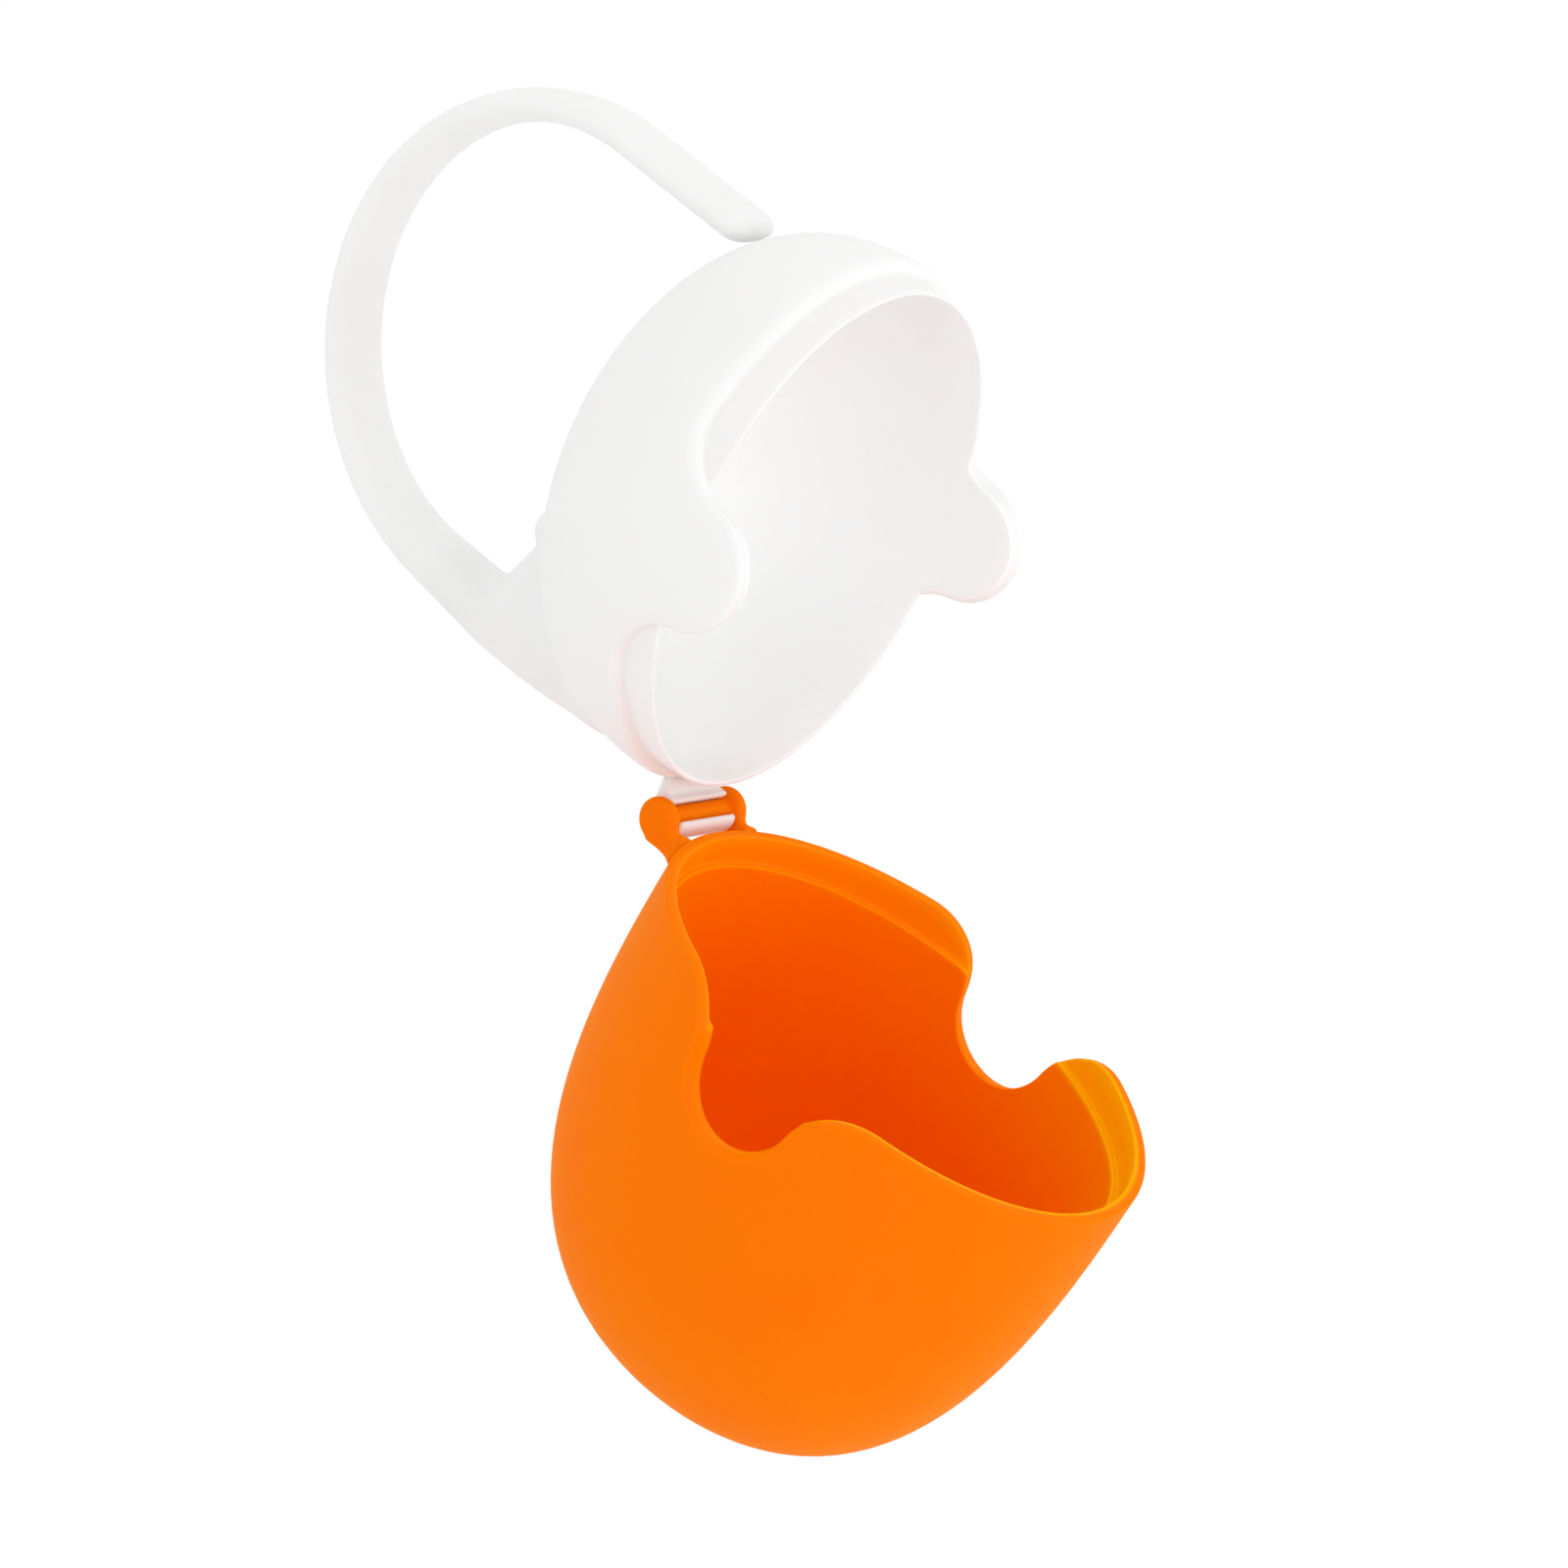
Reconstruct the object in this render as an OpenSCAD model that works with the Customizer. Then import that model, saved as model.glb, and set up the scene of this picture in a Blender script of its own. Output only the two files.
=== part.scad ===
// Pacifier case: a deep bowl and a domed lid that close into one egg, joined by a snap hinge,
// with a wide hook on the lid for hanging the case from a strap.
// Everything is drawn closed, with the middle of the bowl's mouth at zero; the lid and hook are then
// swung open about the hinge pin, and the whole is moved so that the origin is in the hook's inner
// bow, where a strap bears. X runs along the hinge, Y back past the hinge, Z up out of the bowl.

/* [Egg] */
// Length of the egg at the mouth, front to back, mm
case_length = 70; // [66:0.5:76]
// Width of the egg at the mouth, along the hinge, mm
case_width = 57; // [53:0.5:61]
// Depth of the bowl below the ends of its rim, mm
bowl_depth = 57; // [52:0.5:62]
// Height of the lid above the ends of the rim, mm
lid_height = 27.5; // [25:0.5:30]
// How square-shouldered the bowl is (2 is a plain ellipse)
bowl_fullness = 2.8; // [2.5:0.1:3.1]
// How square-shouldered the lid is (2 is a plain ellipse)
lid_fullness = 2.5; // [2.3:0.1:2.8]
// Wall thickness of bowl and lid, mm
wall = 2.4; // [2.25:0.05:2.6]

/* [Rim and closure] */
// Rise of the rim from its front and back ends towards the middle, mm
rim_crown = 1.2; // [0.6:0.1:1.8]
// Depth of the level step inside the bowl's rim, below the rim's ends, mm
rebate_depth = 3.8; // [3.2:0.1:4.4]
// Wall left outside that step, mm
rebate_wall = 1.56; // [1.46:0.02:1.62]
// Clearance round the lid's lip inside the step, mm
lip_clearance = 0.2; // [0.15:0.01:0.24]
// Gap between the two rims when shut, mm
rim_gap = 0.2; // [0.15:0.05:0.3]

/* [Finger notches and tabs] */
// Radius of the round notch in each side of the bowl, mm
notch_radius = 8.7; // [8:0.1:9.4]
// Depth of the notch's centre below the rim, mm
notch_drop = 5.6; // [5:0.1:6.2]
// Radius of the rounded shoulders beside each notch, mm
notch_shoulder = 8.4; // [7.6:0.1:9.2]
// Gap round the lid's tab in the notch, mm
tab_gap = 0.25; // [0.2:0.01:0.3]

/* [Hinge] */
// Distance from the back of the rim to the pin's axis, mm
hinge_offset = 3.9; // [3.8:0.05:4.4]
// Depth of the pin's axis below the ends of the rim, mm
hinge_drop = 0.6; // [0.4:0.05:0.8]
// Diameter of the pin, mm
pin_diameter = 2.9; // [2.7:0.05:3.1]
// Diameter of the round ear at each end of the pin, mm
ear_diameter = 5.7; // [5.4:0.1:6]
// Thickness of each ear, mm
ear_thickness = 1.9; // [1.7:0.1:2.2]
// Width between the ears, mm
ear_spacing = 11.2; // [10.4:0.1:12]
// Clearance between pin and clip bore, on the radius, mm
pin_clearance = 0.06; // [0.04:0.01:0.09]
// Wall of the clip round the pin, mm
clip_wall = 1.1; // [1:0.05:1.2]
// Width of the clip's mouth as a share of the pin's diameter
clip_mouth = 0.86; // [0.8:0.02:0.9]
// Slope of the clip's mouth below the level when shut, degrees
mouth_slope = 38; // [34:1:42]
// Clearance between the clip's ends and the ears, mm
clip_side_gap = 0.3; // [0.2:0.05:0.4]
// How far the lid stands open as drawn, degrees
open_angle = 100; // [90:1:120]

/* [Hook] */
// Radius of the hook's bow, to the middle of its section, mm
hook_radius = 30.6; // [29:0.1:32]
// Height of the bow's centre above the rim, mm
hook_rise = 45; // [43:0.5:48]
// Width of the hook across the case, mm
hook_width = 9.4; // [8.4:0.1:10.4]
// Thickness of the bow, mm
hook_thickness = 4.2; // [3.8:0.1:4.8]
// Extra thickness of the hook where it meets the lid, mm
hook_root_extra = 6.2; // [5.6:0.1:6.8]
// Lean of the hook's free leg towards the lid, degrees
hook_lean = 6; // [4:0.5:8]
// Gap between the hook's tip and the lid, mm
tip_gap = 0.5; // [0.4:0.05:1]
// Gap at the bending place of the hook, mm
flex_gap = 0.3; // [0.25:0.05:0.4]
// Diameter of the round stud in the crook of the hook, mm
stud_diameter = 4.6; // [4:0.1:5]
// Height of that stud above the outside of the lid, mm
stud_height = 9.5; // [9:0.1:10]
// Lean of the stud towards the hook's root, degrees
stud_lean = 20; // [16:1:24]

// Radius of the crook between the stud and the hook's leg, mm
crook_radius = 5; // [4.6:0.1:5.4]

/* [Hidden] */
a0 = case_width / 2;
b0 = case_length / 2;
lip_depth = rebate_depth - 0.3;
hinge_y = b0 + hinge_offset;
hinge_z = -hinge_drop;
pin_r = pin_diameter / 2;
ear_r = ear_diameter / 2;
clip_r = pin_r + pin_clearance + clip_wall;
clip_half = ear_spacing / 2 - clip_side_gap;
bow_y = -0.5;
function swung(y, z) = let (v = y - hinge_y, w = z - hinge_z, c = cos(open_angle), s = sin(open_angle))
    [hinge_y + c * v + s * w, hinge_z - s * v + c * w];
seat = swung(bow_y, hook_rise + hook_radius - hook_thickness / 2);
white = [0.93, 0.93, 0.91];
orange = [1, 0.47, 0];
round_steps = 64;

// Size of the egg's section at height z, as a share of the mouth's size.
function share(z, up, down) =
    z >= 0 ? pow(1 - pow(min(z / up, 1), lid_fullness), 1 / lid_fullness)
           : pow(1 - pow(min(-z / down, 1), bowl_fullness), 1 / bowl_fullness);

// Heights at which the egg is sectioned, closer together where it turns over.
function levels(lo, hi, up, down, n) =
    [for (i = [0 : n]) let (g0 = lo < 0 ? -asin(min(1, -lo / down)) : asin(min(1, lo / up)),
                            g1 = hi < 0 ? -asin(min(1, -hi / down)) : asin(min(1, hi / up)),
                            g = g0 + (g1 - g0) * i / n)
        g < 0 ? down * sin(g) : up * sin(g)];

// Solid egg, smaller than the outside by inset, between two heights.
module egg(inset, lo, hi, n) {
    up = lid_height - inset;
    down = bowl_depth - inset;
    zs = levels(max(lo, -down * 0.9995), min(hi, up * 0.9995), up, down, n);
    m = round_steps;
    points = [for (z = zs) let (s = share(z, up, down)) for (j = [0 : m - 1])
        [(a0 - inset) * s * cos(360 * j / m), (b0 - inset) * s * sin(360 * j / m), z]];
    sides = [for (i = [0 : n - 1]) for (j = [0 : m - 1])
        [i * m + j, (i + 1) * m + j, (i + 1) * m + (j + 1) % m, i * m + (j + 1) % m]];
    polyhedron(points = points, faces = concat(sides,
        [[for (j = [0 : m - 1]) j]], [[for (j = [m - 1 : -1 : 0]) n * m + j]]), convexity = 4);
}

// Height of the rim, without its notches, at a distance y from the middle.
function rim(y) = rim_crown * (1 - abs(y) / b0);

// Edge between bowl and lid in side view, from the back to the front, moved by grow into the bowl.
function edge_points(grow) =
    let (r = notch_radius - tab_gap / 2 + grow, q = notch_shoulder + tab_gap / 2 - grow,
         zs = rim(notch_radius + notch_shoulder) - grow - q, zc = rim(0) - rim_crown - notch_drop,
         yc = sqrt(pow(r + q, 2) - pow(zs - zc, 2)), turn = atan2(zs - zc, yc))
    concat([[b0 + 20, rim(b0 + 20) - grow]],
        [for (i = [0 : 8]) let (g = 90 + (90 + turn) * i / 8) [yc + q * cos(g), zs + q * sin(g)]],
        [for (i = [1 : 23]) let (g = turn - (180 + 2 * turn) * i / 24) [r * cos(g), zc + r * sin(g)]],
        [for (i = [8 : -1 : 0]) let (g = 90 + (90 + turn) * i / 8) [-yc - q * cos(g), zs + q * sin(g)]],
        [[-b0 - 20, rim(b0 + 20) - grow]]);

// Slab across the case, from a side-view edge upwards.
module across(points) {
    rotate([90, 0, 90]) linear_extrude(height = case_width + 30, center = true) polygon(points);
}

module above_edge(grow) {
    across(concat(edge_points(grow), [[-b0 - 20, 60], [b0 + 20, 60]]));
}

module above_level(depth) {
    across([[b0 + 20, -depth], [-b0 - 20, -depth], [-b0 - 20, 60], [b0 + 20, 60]]);
}

module bowl() {
    color(orange) placed() union() {
        difference() {
            egg(0, -bowl_depth, 6, 22);
            egg(wall, -bowl_depth, 7, 22);
            above_edge(0);
            intersection() {
                egg(rebate_wall, -12, 8, 6);
                above_level(rebate_depth);
            }
        }
        for (s = [-1, 1]) ear(s);
        translate([0, hinge_y, hinge_z]) rotate([0, 90, 0])
            cylinder(d = pin_diameter, h = ear_spacing + 1, center = true, $fn = 48);
    }
}

// One of the two ears on the back of the bowl: a round eye with a level arm to the wall.
module ear(s) {
    x0 = s * (ear_spacing + ear_thickness) / 2;
    translate([x0, hinge_y, hinge_z]) rotate([0, 90, 0])
        cylinder(r = ear_r, h = ear_thickness, center = true, $fn = 72);
    foot_y = b0 - wall * 0.6;
    translate([x0, 0, 0]) rotate([90, 0, 90]) linear_extrude(height = ear_thickness, center = true)
        polygon([[hinge_y, hinge_z - ear_r], [hinge_y, hinge_z], [hinge_y - ear_r, hinge_z + 0.6],
                 [foot_y, hinge_z + 0.3], [foot_y, hinge_z - ear_r]]);
}

// Moves what is drawn about the bowl's mouth so that the origin is in the hook's inner bow.
module placed() {
    translate([0, -seat[0], -seat[1]]) children();
}

// Swings what is drawn closed to the open position.
module opened() {
    placed() translate([0, hinge_y, hinge_z]) rotate([-open_angle, 0, 0])
        translate([0, -hinge_y, -hinge_z]) children();
}

// The hook's middle line in side view: a leg up from the lid, a round bow, and a free leg.
lean_back = 8;
pivot_z = hook_rise - 3;
pivot_y = bow_y + hook_radius * cos(lean_back)
    + (hook_rise + hook_radius * sin(lean_back) - pivot_z) * tan(lean_back);
flex_r = 4.3;

function bow(g) = [bow_y + hook_radius * cos(g), hook_rise + hook_radius * sin(g)];
function leg_thickness(s) = hook_thickness + hook_root_extra * pow(max(s, 0) / 69, 1.6);

// Where the free leg ends: the height at which its round end clears the lid by tip_gap.
tip_r = hook_thickness / 2;
function lid_top(y) = lid_height * pow(1 - pow(min(abs(y) / b0, 1), lid_fullness), 1 / lid_fullness);
free_start = bow(180 + hook_lean);
function free_leg(t) = [free_start[0] + t * sin(hook_lean), free_start[1] - t * cos(hook_lean)];
function clear_of_lid(p) = min([for (i = [0 : 40]) let (y = -b0 + b0 * 0.5 * i / 40)
    norm([p[0] - y, p[1] - lid_top(y)])]);
function free_end(t) = clear_of_lid(free_leg(t)) < tip_r + tip_gap ? t - 0.2 : free_end(t + 0.2);
free_length = free_end(5);

// Stations along the hook: centre, direction angle of the section, half thickness, half width.
function stations() = concat(
    [for (u = [13 : -3 : 1])
        [bow(lean_back)[0] + u * sin(lean_back), bow(lean_back)[1] - u * cos(lean_back),
         lean_back, leg_thickness(u + hook_radius * (90 - lean_back) * 3.14159 / 180) / 2, hook_width / 2]],
    [for (i = [0 : 30]) let (g = lean_back + (180 + hook_lean - lean_back) * i / 30)
        [bow(g)[0], bow(g)[1], g, leg_thickness((90 - g) * hook_radius * 3.14159 / 180) / 2, hook_width / 2]],
    [for (i = [1 : 4]) let (p = free_leg(free_length * i / 4))
        [p[0], p[1], 180 + hook_lean, hook_thickness / 2, hook_width / 2]],
    [for (i = [1 : 5]) let (w = 17 * i, p = free_leg(free_length + tip_r * sin(w)))
        [p[0], p[1], 180 + hook_lean, hook_thickness / 2 * cos(w), hook_width / 2 * (0.45 + 0.55 * cos(w))]]);

// Solid through a row of oval sections in the plane of the hook.
module rod(list, m = 28) {
    n = len(list);
    points = [for (s = list) for (j = [0 : m - 1]) let (g = 360 * j / m)
        [s[4] * cos(g), s[0] + s[3] * sin(g) * cos(s[2]), s[1] + s[3] * sin(g) * sin(s[2])]];
    sides = [for (i = [0 : n - 2]) for (j = [0 : m - 1])
        [i * m + j, (i + 1) * m + j, (i + 1) * m + (j + 1) % m, i * m + (j + 1) % m]];
    polyhedron(points = points, faces = concat(sides,
        [[for (j = [0 : m - 1]) j]], [[for (j = [m - 1 : -1 : 0]) (n - 1) * m + j]]), convexity = 6);
}

// Flared root of the hook, blending down the back of the lid.
module root_flare(m = 32, n = 12) {
    z0 = 5;
    z1 = hook_rise - 7;
    points = [for (i = [0 : n]) let (t = i / n, z = z0 + (z1 - z0) * t,
                                     yo = b0 - 1 + 8.2 * t - 6.3 * t * t, yi = b0 - 22 + 13.2 * pow(t, 5),
                                     w = hook_width / 2 + 4.5 * (1 - t * t))
        for (j = [0 : m - 1]) let (g = 360 * j / m)
            [w * cos(g), (yo + yi) / 2 + (yo - yi) / 2 * sin(g), z]];
    sides = [for (i = [0 : n - 1]) for (j = [0 : m - 1])
        [i * m + j, (i + 1) * m + j, (i + 1) * m + (j + 1) % m, i * m + (j + 1) % m]];
    polyhedron(points = points, faces = concat(sides,
        [[for (j = [0 : m - 1]) j]], [[for (j = [m - 1 : -1 : 0]) n * m + j]]), convexity = 4);
}

module flex_axis(r) {
    translate([0, pivot_y, pivot_z]) rotate([0, 90, 0])
        cylinder(r = r, h = hook_width + 12, center = true, $fn = 96);
}

// Open clip that snaps over the pin, with its flat-topped arm from the lid's wall. The mouth faces
// the bowl, sloping down.
module clip() {
    difference() {
        union() {
            translate([0, hinge_y, hinge_z]) rotate([0, 90, 0])
                cylinder(r = clip_r, h = 2 * clip_half, center = true, $fn = 72);
            rotate([90, 0, 90]) linear_extrude(height = 2 * clip_half, center = true)
                polygon([[hinge_y, hinge_z + clip_r], [b0 - wall * 0.5, hinge_z + clip_r],
                         [b0 - wall * 0.5, rim_gap + 0.3], [hinge_y - clip_r * cos(25), rim_gap + 0.3]]);
        }
        translate([0, hinge_y, hinge_z]) rotate([0, 90, 0])
            cylinder(r = pin_r + pin_clearance, h = 2 * clip_half + 2, center = true, $fn = 64);
        translate([0, hinge_y, hinge_z]) rotate([mouth_slope, 0, 0]) translate([0, -clip_r, 0])
            cube([2 * clip_half + 2, 2 * clip_r, pin_diameter * clip_mouth], center = true);
    }
}

// Rounded fill between the root's front and the hook's leg, hollowed to the crook's radius.
module crook() {
    c = [b0 * 0.606, hook_rise - 8.2];
    rotate([90, 0, 90]) linear_extrude(height = hook_width * 0.8, center = true) difference() {
        polygon([[c[0] - 6.4, c[1] - 9.8], [c[0] + 7, c[1] - 9.8], [c[0] + 7, c[1] + 1.7],
                 [c[0] - 4, c[1] + 1.7], [c[0] - 4, c[1] - 3.3]]);
        translate(c) circle(r = crook_radius, $fn = 72);
    }
}

// Round stud with a bevelled flat end, standing square on the dome in front of the hook's root.
module stud() {
    bevel = stud_diameter * 0.13;
    translate([0, b0 * 0.435, lid_top(b0 * 0.435)]) rotate([-stud_lean, 0, 0]) translate([0, 0, -5])
        hull() {
            cylinder(d = stud_diameter, h = stud_height + 5 - bevel, $fn = 48);
            cylinder(d = stud_diameter - 2 * bevel, h = stud_height + 5, $fn = 48);
        }
}

module lid() {
    color(white) opened() union() {
        difference() {
            union() {
                intersection() {
                    egg(0, -20, lid_height, 22);
                    above_edge(-rim_gap);
                }
                intersection() {
                    egg(rebate_wall + lip_clearance, -8, 10, 6);
                    above_level(lip_depth);
                }
                difference() {
                    union() {
                        root_flare();
                        intersection() {
                            rod(stations());
                            translate([-20, 0, 0]) cube([40, b0 + 20, pivot_z]);
                        }
                        crook();
                        stud();
                    }
                    flex_axis(flex_r + flex_gap);
                }
            }
            egg(wall, -30, lid_height, 24);
        }
        clip();
    }
}

module hook_arm() {
    color(white) opened() difference() {
        rod(stations());
        difference() {
            translate([-20, 0, 0]) cube([40, b0 + 20, pivot_z]);
            flex_axis(flex_r);
        }
    }
}

bowl();
lid();
hook_arm();
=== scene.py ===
"""An open pacifier case: an orange bowl and a white domed lid with a wide hook, hinged on a pin."""
import math

import bmesh
import bpy
import numpy as np
from mathutils import Matrix, Vector


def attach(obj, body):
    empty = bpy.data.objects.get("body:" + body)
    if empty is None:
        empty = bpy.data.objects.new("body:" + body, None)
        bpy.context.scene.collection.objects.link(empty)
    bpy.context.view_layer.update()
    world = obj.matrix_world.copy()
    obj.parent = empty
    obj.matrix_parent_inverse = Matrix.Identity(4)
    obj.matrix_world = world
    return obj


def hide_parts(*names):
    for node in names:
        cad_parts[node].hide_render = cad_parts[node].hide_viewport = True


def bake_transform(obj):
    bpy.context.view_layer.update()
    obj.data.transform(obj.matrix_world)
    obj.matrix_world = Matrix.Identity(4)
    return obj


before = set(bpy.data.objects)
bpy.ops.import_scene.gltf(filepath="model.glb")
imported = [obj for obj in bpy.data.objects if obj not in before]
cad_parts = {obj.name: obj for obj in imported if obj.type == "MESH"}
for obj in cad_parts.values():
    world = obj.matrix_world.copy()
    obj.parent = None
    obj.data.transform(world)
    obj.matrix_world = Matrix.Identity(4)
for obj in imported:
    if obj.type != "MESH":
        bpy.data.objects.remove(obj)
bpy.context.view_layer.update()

# Bowl. A deep egg-shaped cup of glossy, faintly translucent orange polypropylene, moulded in one
# piece. Its rim has a narrow land and a step inside it for the lid's lip, and a round finger notch
# in each side, whose outer edge is scooped soft.

# All shapes are drawn in millimetres with the case shut and the middle of the mouth at zero.
HALF_WIDTH, HALF_LENGTH = 28.5, 35.0
BOWL_DEPTH, LID_HEIGHT = 57.0, 27.5
BOWL_POWER, DOME_POWER = 2.8, 2.5
RIM_RISE = 1.2
WALL, RIM_WALL = 2.4, 1.56
STEP_DEPTH, LIP_DEPTH = 3.8, 3.5
NOTCH_RADIUS, NOTCH_DROP, NOTCH_SHOULDER, TAB_GAP = 8.7, 5.6, 8.4, 0.25
BOWL_PLACE = (0.0, -118.716, -25.334)


def egg(phi, z, inset=0.0):
    """Points of the egg's skin, or of a skin that lies inset inside it."""
    z = np.asarray(z, float)
    up, down = LID_HEIGHT - inset, BOWL_DEPTH - inset
    above = (1 - np.clip(z / up, 0, 1) ** DOME_POWER) ** (1 / DOME_POWER)
    below = (1 - np.clip(-z / down, 0, 1) ** BOWL_POWER) ** (1 / BOWL_POWER)
    share = np.where(z >= 0, above, below)
    x = (HALF_WIDTH - inset) * share * np.cos(phi)
    y = (HALF_LENGTH - inset) * share * np.sin(phi)
    return np.stack([x, y, z + 0 * x], -1)


def rim_height(y):
    """The rim stands a little higher in the middle of each side than at front and back."""
    return RIM_RISE * (1 - np.abs(y) / HALF_LENGTH)


def parting_edge(grow, pinch=0.0):
    """The edge round one half, as a dense loop: length along it, angle, height, the angle its
    column has far from the edge, and the step in angle and height that leads 1 mm down the wall."""
    r = NOTCH_RADIUS - TAB_GAP / 2 + grow - pinch
    q = NOTCH_SHOULDER + TAB_GAP / 2 - grow + pinch
    zs = rim_height(NOTCH_RADIUS + NOTCH_SHOULDER) - grow - q
    zc = -NOTCH_DROP
    yc = math.sqrt((r + q) ** 2 - (zs - zc) ** 2)
    turn = math.atan2(zs - zc, yc)
    g = np.linspace(-math.pi / 2, turn, 220)[:-1]
    h = np.linspace(math.pi + turn, math.pi / 2, 220)
    y = np.concatenate([r * np.cos(g), yc + q * np.cos(h)])
    z = np.concatenate([zc + r * np.sin(g), zs + q * np.sin(h)])
    share = egg(np.full_like(z, math.pi / 2), z)[:, 1] / HALF_LENGTH
    phi = np.arcsin(y / HALF_LENGTH / share)
    corner = len(phi) - 1
    far = np.linspace(phi[-1], math.pi / 2, 500)[1:]
    phi = np.concatenate([phi, far])
    z = np.concatenate([z, rim_height(HALF_LENGTH * np.sin(far)) - grow])
    p = egg(phi, z)
    s = np.concatenate([[0], np.cumsum(np.linalg.norm(np.diff(p, axis=0), axis=1))])
    column = np.where(s < s[corner], phi[corner] * s / s[corner], phi)
    n = 2 * s[-1]
    s = np.concatenate([s, n - s[-2::-1], n + s[1:], 2 * n - s[-2::-1]])
    phi = np.concatenate([phi, math.pi - phi[-2::-1], math.pi + phi[1:], 2 * math.pi - phi[-2::-1]])
    column = np.concatenate([column, math.pi - column[-2::-1], math.pi + column[1:],
                             2 * math.pi - column[-2::-1]])
    z = np.concatenate([z, z[-2::-1], z[1:], z[-2::-1]])
    p = egg(phi, z)
    tangent = np.gradient(p[:-1], axis=0)
    tangent[0] = p[1] - p[-2]
    tangent = np.vstack([tangent, tangent[:1]])
    tangent /= np.linalg.norm(tangent, axis=1, keepdims=True)
    along = (egg(phi + 1e-4, z) - egg(phi - 1e-4, z)) / 2e-4
    down = (egg(phi, z - 1e-3) - egg(phi, z + 1e-3)) / 2e-3
    # Unit step in the skin, square to the edge, as so much angle and so much height.
    u, v = -(down * tangent).sum(1), (along * tangent).sum(1)
    size = np.linalg.norm(u[:, None] * along + v[:, None] * down, axis=1)
    return s, phi, z, column, u / size, -v / size


def edge_columns(edge, at, by="length"):
    """The edge loop read off at given lengths along it, or at given column angles."""
    key = edge[0] if by == "length" else edge[3]
    return [np.interp(at, key, row) for row in edge[1:]]


def follow(start, toward, step, end, rows):
    """Rows of angle and height that leave the edge squarely and end upright at the far level."""
    (p0, z0), (dp, dz), (p1, z1) = start, step, end
    reach = np.abs(z1 - z0) * 0.9
    out = []
    for u in np.linspace(0, 1, rows + 1)[1:]:
        h0, h1 = 2 * u**3 - 3 * u**2 + 1, -2 * u**3 + 3 * u**2
        g0, g1 = u**3 - 2 * u**2 + u, u**3 - u**2
        out.append((h0 * p0 + g0 * reach * dp + h1 * p1,
                    h0 * z0 + g0 * reach * dz + h1 * z1 + g1 * reach * toward))
    return out


def to_pole(level, inset, rows):
    """Heights from a level to the egg's end, evenly spaced along the skin."""
    end = (LID_HEIGHT if level > 0 else BOWL_DEPTH) - inset
    g = np.linspace(math.asin(abs(level) / end), math.pi / 2, 600)
    z = np.sign(level) * end * np.sin(g)
    p = egg(math.pi / 2, z, inset)
    s = np.concatenate([[0], np.cumsum(np.linalg.norm(np.diff(p, axis=0), axis=1))])
    return np.interp(np.linspace(0, s[-1], rows + 1)[1:], s, z)


def skin(rows):
    """A bmesh grid laid on rows of points that close round, with its seam and poles merged."""
    rows = np.asarray(rows, float)
    count, around = rows.shape[:2]
    rows = np.concatenate([rows, rows[:, :1]], axis=1)
    bm = bmesh.new()
    bmesh.ops.create_grid(bm, x_segments=around, y_segments=count - 1, size=1)
    for vert, co in zip(bm.verts, rows.reshape(-1, 3)):
        vert.co = co
    bmesh.ops.remove_doubles(bm, verts=bm.verts, dist=2e-5)
    return bm


def show(name, data):
    """Puts an object with this mesh, lamp or camera into the scene, unturned at the origin."""
    made = bpy.data.objects.new(name, data)
    bpy.context.scene.collection.objects.link(made)
    return made


def mould(name, bm, place, material, body, replaces=()):
    """Turns a bmesh in drawing millimetres into a finished piece at its place in the frame."""
    bmesh.ops.recalc_face_normals(bm, faces=bm.faces)
    for vert in bm.verts:
        vert.co = place(vert.co)
    mesh = bpy.data.meshes.new(name)
    bm.to_mesh(mesh)
    bm.free()
    for face in mesh.polygons:
        face.use_smooth = True
    piece = show(name, mesh)
    piece.data.materials.append(material)
    if body:
        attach(piece, body)
    if replaces:
        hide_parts(*replaces)
    return piece


def bowl_place(p):
    """From the drawing to the bowl's place in the frame, in metres."""
    return Vector([(p[i] + BOWL_PLACE[i]) / 1000 for i in range(3)])


def mark(bm, name, measure):
    """Gives every vertex a number for the material to read, measured in drawing millimetres."""
    layer = bm.verts.layers.float.new(name)
    for vert, value in zip(bm.verts, measure(np.array([v.co for v in bm.verts]))):
        vert[layer] = value


def ramp(v, low, high):
    """0 at low, 1 at high, smooth between them."""
    t = np.clip((v - low) / (high - low), 0, 1)
    return t * t * (3 - 2 * t)


class Socket:
    """One output of a shader node; sums, products and the like add their Math nodes."""

    def __init__(self, tree, out):
        self.tree, self.out = tree, out

    def math(self, operation, *values):
        return node(self.tree, "ShaderNodeMath", {"operation": operation}, dict(enumerate(values)))

    def __add__(self, other): return self.math("ADD", self, other)
    def __radd__(self, other): return self.math("ADD", other, self)
    def __mul__(self, other): return self.math("MULTIPLY", self, other)
    def __rmul__(self, other): return self.math("MULTIPLY", other, self)

    def between(self, low, high):
        """0 below low, 1 above high and smooth between them."""
        return node(self.tree, "ShaderNodeMapRange", {"interpolation_type": "SMOOTHSTEP"},
                    {"Value": self, "From Min": low, "From Max": high})


def node(tree, kind, settings=None, sockets=None, out=0):
    """Adds a node: its settings first, then the values or links of its sockets."""
    made = tree.nodes.new(kind)
    for key, value in (settings or {}).items():
        setattr(made, key, value)
    for key, value in (sockets or {}).items():
        socket = made.inputs[key]
        if isinstance(value, Socket):
            tree.links.new(value.out, socket)
        else:
            socket.default_value = value
    return Socket(tree, made.outputs[out])


def plastic(name, **constants):
    """An empty plastic: its tree, its shader node and the place on it in metres."""
    material = bpy.data.materials.new(name)
    material.use_nodes = True
    tree = material.node_tree
    shader = tree.nodes["Principled BSDF"]
    for key, value in constants.items():
        shader.inputs[key.replace("_", " ").title().replace("Ior", "IOR")].default_value = value
    place = node(tree, "ShaderNodeTexCoord", out="Object")
    return material, tree, shader, place


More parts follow.
